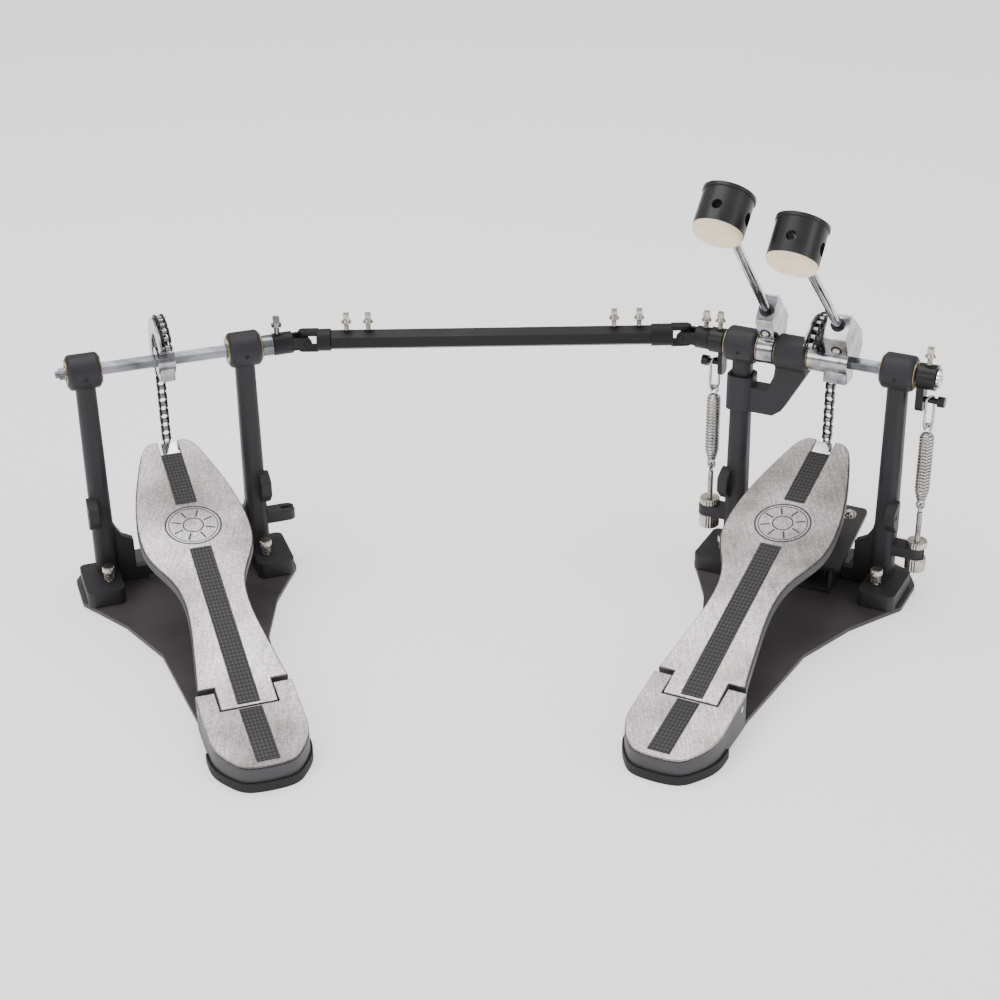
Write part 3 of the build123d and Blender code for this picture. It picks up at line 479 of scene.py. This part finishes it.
def chain_length(side, name, body, pins, replaces):
    """The plates and the rollers of one length of chain, through its pins, given as (y, z)."""
    plates, rollers = bmesh.new(), bmesh.new()
    pins = [Vector((0, y, z)) for y, z in pins]
    for number, pin in enumerate(pins):
        roller = turned([(0, -4.2), (1.1, -4.2), (1.3, -3.9), (1.3, -2), (2.2, -1.9), (2.2, 1.9), (1.3, 2),
                         (1.3, 3.9), (1.1, 4.2), (0, 4.2)], 14)
        fix_on(rollers, roller, aimed(pin, (1, 0, 0)))
        if number + 1 == len(pins):
            continue
        step = pins[number + 1] - pin
        turn = Matrix.Rotation(atan2(step.z, step.y), 4, "X")
        for wall in (-1, 1):
            x = wall * (3.45 if number % 2 else 2.45)
            for place in (pin, pins[number + 1]):
                eye = turned([(0, -0.48), (3.2, -0.48), (3.4, -0.3), (3.4, 0.3), (3.2, 0.48), (0, 0.48)], 16)
                fix_on(plates, eye, aimed(place + Vector((x, 0, 0)), (1, 0, 0)))
            fix_on(plates, block((0.96, step.length, 4.6), 0.15),
                   Matrix.Translation((pin + pins[number + 1]) / 2 + Vector((x, 0, 0))) @ turn)
    fit(plates, f"{side}_{name}_plates", side, body, chain_plate, replaces=replaces)
    fit(rollers, f"{side}_{name}_rollers", side, body, chain_roller)


for side in ("left", "main"):
    hanging = 12
    chain_length(side, "hanging", f"{side}_chain",
                 [(CHAIN_R, CLIP_PIN_Z + (AXLE_H - 1 - CLIP_PIN_Z) * pin / hanging)
                  for pin in range(hanging + 1)],
                 [f"{side}_hanging_chain"])
    wrapped = 11
    chain_length(side, "wrapped", f"{side}_shaft",
                 [(CHAIN_R * cos(angle), AXLE_H + CHAIN_R * sin(angle))
                  for angle in (radians(3 + (WRAP_END - 6) * pin / wrapped) for pin in range(wrapped + 1))],
                 [f"{side}_wrapped_chain"])

# ---------------------------------------------------------------- wheels and hubs
# The chain wheels and the blocks that grip the beater rods are polished castings, with cloudy reflections.

cast_bright = grained("polished_casting", (0.33, 0.33, 0.345), 0.18, 1.0, mottle=(75, 0.6),
                      grain=(160, 0.22), edge=0.8, shift=0.08)
dress(cast_bright, "left_sprocket", "main_sprocket_hub", "second_hub")

# ---------------------------------------------------------------- universal joints and drive shaft
# Black steel forks and crosses, and a hexagon tube that slides over a hexagon rod to set the span.

shaft_black = grained("shaft_black", (0.009, 0.0082, 0.0098), 0.46, mottle=(20, 0.3), grain=(1200, 0.2),
                      edge=0.6, sheen=0.28)
dress(shaft_black, "drive_rod", "drive_tube", "left_joint_cross", "right_joint_cross", "left_axle_fork",
      "second_axle")

# ---------------------------------------------------------------- spring rockers
# A black collar clamped on the outer end of each beater axle, with an arm down to the spring's bolt.

dress(blackened, "main_rocker", "second_rocker")

# ---------------------------------------------------------------- key screws
# Square-headed screws for a drum key, each with a flared skirt under its head: on the collars, the left fork
# and both ends of the drive tube.


def key_screw_at(piece, place, towards=(0, 0, 1)):
    """One screw: a threaded shank, the flared skirt and the square head."""
    stand = aimed(place, towards)
    fix_on(piece, threaded(2.3, 7.6), stand)
    skirt = turned([(0, 6.8), (4.6, 6.9), (4.7, 7.5), (3.9, 8.6), (3.3, 9.4), (3.1, 10.2), (0, 10.2)], 24)
    fix_on(piece, skirt, stand)
    head = block((5.3, 5.3, 6.2), 0.7)
    fix_on(piece, head, stand @ Matrix.Translation((0, 0, 12.4)))


COLLAR_R, FORK_R, TUBE_CORNER = 11, 9.8, 16 / 2 / cos(pi / 6)
piece = bmesh.new()
key_screw_at(piece, (94.5, 0, AXLE_H + COLLAR_R))
fit(piece, "main_collar_screw", "main", "main_shaft", nickel, replaces=["main_screws"])
piece = bmesh.new()
key_screw_at(piece, (-91.5, 0, AXLE_H + COLLAR_R))
key_screw_at(piece, (-104.5, 0, AXLE_H + FORK_R))
fit(piece, "second_collar_screws", "main", "second_shaft", nickel, replaces=["second_screws"])
piece = bmesh.new()
for x in (-130, -111, 105, 127):
    key_screw_at(piece, (x, 0, AXLE_H + TUBE_CORNER))
fit(piece, "drive_tube_screws", "shaft", "tube_half", nickel, replaces=["tube_screws"])

# ---------------------------------------------------------------- beaters
# Turned heads of black plastic, drilled across for lightness, with a hard felt pad glued in the front.

head_plastic = grained("head_plastic", (0.016, 0.0155, 0.0175), 0.34, sheen=0.4, mottle=(50, 0.2),
                       grain=(900, 0.12), edge=0.9)
dress(head_plastic, "main_beater_head", "second_beater_head")

felt = grained("hard_felt", (0.98, 0.79, 0.58), 0.95, mottle=(70, 0.07), grain=(650, 0.6), edge=0)
felt.node_tree.nodes["Principled BSDF"].inputs["Sheen Weight"].default_value = 0.35
HEAD_R, HEAD_L, FELT_T, ROD_OFFSET = 20.8, 39, 6.5, 20.5
# Each rod's angle from upright, its head's height up it and its place along the axle
BEATERS = {"main": (radians(48), 200, 17), "second": (radians(44), 204, -46.75)}


def on_rod(beater, up, out=0.0):
    """A point beside a beater rod, so far up it from the axle and out from its middle towards the drum."""
    angle, _, x = BEATERS[beater]
    reach = ROD_OFFSET + out
    return Vector((x, reach * cos(angle) - up * sin(angle), AXLE_H + reach * sin(angle) + up * cos(angle)))


for beater, (angle, height, x) in BEATERS.items():
    player_side = Vector((0, -cos(angle), -sin(angle)))
    piece = bmesh.new()
    pad = turned([(0, -0.6), (HEAD_R - 0.4, -0.6), (HEAD_R - 0.35, 1.6), (HEAD_R - 0.8, 3.2),
                  (HEAD_R - 2.2, 4.9), (HEAD_R - 5, 5.9), (HEAD_R - 10, 6.3), (0, FELT_T - 0.05)], 64)
    fix_on(piece, pad, aimed(on_rod(beater, height) + player_side * (HEAD_L / 2 - FELT_T), player_side))
    fit(piece, f"{beater}_felt", "main", f"{beater}_head", felt, replaces=[f"{beater}_beater_face"],
        crease=60)
    piece = bmesh.new()
    rim = turned([(0, 0.2), (15.5, 0.2), (16.2, -0.1), (HEAD_R - 1, -0.1), (HEAD_R + 0.5, 0.4),
                  (HEAD_R + 0.9, 1.4), (HEAD_R + 0.5, 2.5), (HEAD_R - 0.6, 3), (0, 3)], 64)
    fix_on(piece, rim, aimed(on_rod(beater, height) - player_side * (HEAD_L / 2), player_side))
    fit(piece, f"{beater}_head_rim", "main", f"{beater}_head", head_plastic, crease=60)

# ---------------------------------------------------------------- hub bushes and grub screws
# A black bush lines the mouth of each rod's hole. A bright screw in the lower front of each block, in a
# black seat, grips the block on its axle.


def rod_way(beater, up, out):
    """A direction given along and across a beater rod."""
    angle = BEATERS[beater][0]
    return Vector((0, out * cos(angle) - up * sin(angle), out * sin(angle) + up * cos(angle)))


# For each hub: the height of the mouth up the rod, and the screw's place and direction along and across it
HUBS = {"main": (33.9, (18, -17.7), (0.338, -0.941)), "second": (36.2, (20, -15.2), (0.287, -0.958))}
for beater, (mouth, screw_place, screw_way) in HUBS.items():
    screw = aimed(on_rod(beater, *screw_place), rod_way(beater, *screw_way))
    piece = bmesh.new()
    fix_on(piece, turned([(4.1, -2.6), (6.3, -2.6), (6.3, 0.5), (5.5, 1.2), (4.1, 1.2), (4.1, -2.6)], 32),
           aimed(on_rod(beater, mouth), rod_way(beater, 1, 0)))
    fix_on(piece, turned([(0, -0.6), (4.9, -0.6), (4.9, 0.25), (4.3, 0.5), (0, 0.5)], 28), screw)
    fit(piece, f"{beater}_rod_bush", "main", f"{beater}_shaft", blackened)
    piece = bmesh.new()
    fix_on(piece, turned([(0, 2.6), (1.8, 2.5), (3.1, 1.6), (3.6, 0.6), (3.6, 0.3), (0, 0.3)], 28), screw)
    fit(piece, f"{beater}_rod_screw", "main", f"{beater}_shaft", nickel)

# ---------------------------------------------------------------- axle ends
# The left axle ends outside its housing in a threaded stud with a washer on it, and its fork is
# held by a key screw. The main axle is closed by a polished cap.

CAP_OUTER = 84
end = aimed((-CAP_OUTER - 1, 0, AXLE_H), (-1, 0, 0))
piece = bmesh.new()
fix_on(piece, threaded(3.15, 8.6, 1.2), end)
fix_on(piece, turned([(0, 0), (6.6, 0), (6.6, 0.8), (0, 0.8)], 28), end)
fit(piece, "left_axle_stud", "left", "left_shaft", nickel)
piece = bmesh.new()
key_screw_at(piece, (100, 0, AXLE_H + FORK_R))
fit(piece, "left_fork_screw", "left", "left_shaft", nickel)
piece = bmesh.new()
cap = turned([(2.2, 0), (7, 0), (8.2, 0.4), (8.2, 2.6), (7.4, 3.1), (3.4, 3.1), (2.6, 2.2), (0, 1.9)], 36)
fix_on(piece, cap, aimed((102.45, 0, AXLE_H), (1, 0, 0)))
fit(piece, "main_axle_cap", "main", "main_shaft", chrome)

# ---------------------------------------------------------------- return springs
# Nickelled coil springs between the bracket's eye bolt and a wire link on the rocker's bolt. The coils are
# drawn in at both ends and finish in hooks.

spring_wire = grained("spring_wire", (0.50, 0.485, 0.47), 0.22, 1.0, mottle=(60, 0.2), grain=(600, 0.05),
                      edge=0)
SPRINGS = {"main": (98, 88), "second": (-95, 87)}     # place along the axle, height of the eye bolt's eye
COIL_R, COIL_LENGTH, WIRE_R = 6.5, 70, 1.2


def wire_ring(radius, wire, angle=tau, sides=8, steps=28):
    """Round wire bent round its own z, all the way or part of it."""
    shape = bmesh.new()
    bmesh.ops.create_circle(shape, segments=sides, radius=wire,
                            matrix=Matrix.Translation((radius, 0, 0)) @ Matrix.Rotation(pi / 2, 4, "X"))
    bmesh.ops.spin(shape, geom=shape.verts[:] + shape.edges[:], cent=(0, 0, 0), axis=(0, 0, 1), angle=angle,
                   steps=steps, use_merge=angle == tau, use_duplicate=False, dvec=(0, 0, 0))
    if angle != tau:
        bmesh.ops.holes_fill(shape, edges=[edge for edge in shape.edges if edge.is_boundary])
    return shape


for name, (x, eye) in SPRINGS.items():
    low, high = eye + 5, eye + 5 + COIL_LENGTH
    piece = bmesh.new()
    turns, wound = 22, COIL_LENGTH - 4
    winding = coil(COIL_R - WIRE_R, WIRE_R, turns, wound / turns, steps_per_turn=20, sides=8)
    for point in winding.verts:
        drawn_in = min((point.co.z + 1) / 13, (wound - point.co.z + 1) / 5, 1)
        point.co.xy *= 0.42 + 0.58 * max(drawn_in, 0) ** 0.7
    fix_on(piece, winding, Matrix.Translation((x, 0, low + 1)))
    for middle, turn in ((eye + 2.6, 120), (high + 1.9, -60)):
        fix_on(piece, wire_ring(3.2, WIRE_R, angle=radians(300), steps=20),
               Matrix.Translation((x, 0, middle)) @ Matrix.Rotation(pi / 2, 4, "X")
               @ Matrix.Rotation(radians(turn), 4, "Z"))
    spring = fit(piece, f"{name}_spring_wire", "main", None, spring_wire,
                 replaces=[f"{name}_spring"], crease=80)
    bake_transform(spring)

    piece = bmesh.new()
    link = wire_ring(4.7, 1.25, steps=32)
    link_low, link_high = eye + COIL_LENGTH + 6, AXLE_H - 21 + 4.6
    for point in link.verts:
        point.co.y += (link_high - link_low - 12) * (point.co.y > 0)
    fix_on(piece, link, Matrix.Translation((x, 0, link_low + 6)) @ Matrix.Rotation(radians(-35), 4, "Z")
           @ Matrix.Rotation(pi / 2, 4, "Y") @ Matrix.Rotation(pi / 2, 4, "Z"))
    fit(piece, f"{name}_link_wire", "main", f"{name}_link", spring_wire,
        replaces=[f"{name}_spring_link"], crease=80)

# ---------------------------------------------------------------- spring adjusters
# An eye bolt hangs in each bracket's slot. A thin knurled nut above and a tall one below set the spring's
# pull.

BRACKET_Z, BRACKET_T = 40, 10
piece = bmesh.new()
for x, eye in SPRINGS.values():
    fix_on(piece, threaded(2.55, eye - 4.2 - (BRACKET_Z - 14)), Matrix.Translation((x, 0, BRACKET_Z - 14)))
    fix_on(piece, wire_ring(3.2, 1.25), Matrix.Translation((x, 0, eye)) @ Matrix.Rotation(pi / 2, 4, "Y"))
fit(piece, "eye_bolts", "main", "main_base", nickel, replaces=["spring_eye_bolts"])
piece = bmesh.new()
for x, eye in SPRINGS.values():
    for base, tall in ((BRACKET_Z + BRACKET_T, 6), (BRACKET_Z - 12.5, 12.5)):
        nut = turned([(2.7, 0), (8.4, 0), (9.2, 0.7), (9.2, tall - 0.7), (8.4, tall), (7, tall),
                      (6.4, tall - 0.5), (2.7, tall - 0.5), (2.7, 0)], 48)
        knurl(nut, 9.2, 0.45)
        fix_on(piece, nut, Matrix.Translation((x, 0, base)))
fit(piece, "knurled_nuts", "main", "main_base", nickel, replaces=["spring_adjusting_nuts"],
    crease=20)

# ---------------------------------------------------------------- hoop clamp
# A pressed steel jaw, pulled down on the drum's hoop by a winged knob on a stud, with a bright bolt each
# side. Only the main pedal has one.

clamp_black = grained("clamp_black", (0.026, 0.026, 0.028), 0.33, 0.1, mottle=(20, 0.2), grain=(900, 0.12),
                      edge=0.8)
dress(clamp_black, "clamp_base", "clamp_jaw", "clamp_knob")

JAW_TILT, JAW_PIN = radians(15), Vector((0, -26, 23))


def on_jaw(across, up, lift):
    """A point on the jaw: across it, up it from its pivot, and lifted square to it."""
    return JAW_PIN + Matrix.Rotation(JAW_TILT, 3, "X") @ Vector((across, up, lift))


square_up = Matrix.Rotation(JAW_TILT, 4, "X").to_3x3() @ Vector((0, 0, 1))
piece = bmesh.new()
for across in (-26, 26):
    bolt = turned([(0, 4.6), (1.6, 4.4), (3.6, 3.2), (4.8, 1.2), (4.9, 0), (6.2, -0.05), (6.2, -0.4),
                   (0, -0.4)], 28)
    fix_on(piece, bolt, aimed(on_jaw(across, 66, 8.4), square_up))
fit(piece, "jaw_bolts", "main", "jaw", nickel)

# ---------------------------------------------------------------- floor, light and camera
# The pedal stands on a plain white floor under two large soft lamps.

floor = bmesh.new()
bmesh.ops.create_grid(floor, x_segments=1, y_segments=1, size=12)
floor_mesh = bpy.data.meshes.new("floor")
floor.to_mesh(floor_mesh)
floor.free()
white = bpy.data.materials.new("white_floor")
white.use_nodes = True
white.node_tree.nodes["Principled BSDF"].inputs["Base Color"].default_value = (0.93, 0.93, 0.93, 1)
white.node_tree.nodes["Principled BSDF"].inputs["Emission Color"].default_value = (1, 1, 1, 1)
white.node_tree.nodes["Principled BSDF"].inputs["Emission Strength"].default_value = 0.65
white.node_tree.nodes["Principled BSDF"].inputs["Roughness"].default_value = 0.9
floor_mesh.materials.append(white)
ground = bpy.data.objects.new("floor", floor_mesh)
bpy.context.scene.collection.objects.link(ground)

world = bpy.data.worlds.new("studio")
world.use_nodes = True
sky, wires = world.node_tree.nodes, world.node_tree.links
sky["Background"].inputs["Strength"].default_value = 0.85
heights = sky.new("ShaderNodeSeparateXYZ")
wires.new(sky.new("ShaderNodeTexCoord").outputs["Generated"], heights.inputs["Vector"])
fall = sky.new("ShaderNodeValToRGB")
fall.color_ramp.elements[0].position, fall.color_ramp.elements[1].position = 0.02, 0.75
fall.color_ramp.elements[0].color, fall.color_ramp.elements[1].color = (0.5, 0.5, 0.51, 1), (1, 1, 1, 1)
wires.new(heights.outputs["Z"], fall.inputs["Fac"])
wires.new(fall.outputs["Color"], sky["Background"].inputs["Color"])
bpy.context.scene.world = world


def lamp(name, place, aim, size, power):
    """A square soft lamp that looks at a point."""
    light = bpy.data.lights.new(name, "AREA")
    light.shape, light.size, light.energy = "SQUARE", size, power
    stand = bpy.data.objects.new(name, light)
    stand.location = place
    stand.rotation_euler = (Vector(aim) - Vector(place)).to_track_quat("-Z", "Y").to_euler()
    bpy.context.scene.collection.objects.link(stand)


lamp("overhead", (-0.4, 0.3, 2.2), (0, 0, 0.1), 1.6, 28)
lamp("front_left", (-1.6, -1.8, 1.6), (0, 0, 0.15), 1.2, 18)
lamp("front_right", (1.9, -1.2, 1.2), (0, 0, 0.15), 0.9, 10)

lens = bpy.data.cameras.new("camera")
lens.lens, lens.sensor_width = 71.19, 36
camera = bpy.data.objects.new("camera", lens)
CAMERA_DIP, CAMERA_ROLL = radians(27.55), radians(-0.89)
camera.matrix_world = (Matrix.Translation((0.0036, -1.4341, 0.8898))
                       @ Matrix.Rotation(pi / 2 - CAMERA_DIP, 4, "X") @ Matrix.Rotation(CAMERA_ROLL, 4, "Z"))
bpy.context.scene.collection.objects.link(camera)
bpy.context.scene.camera = camera
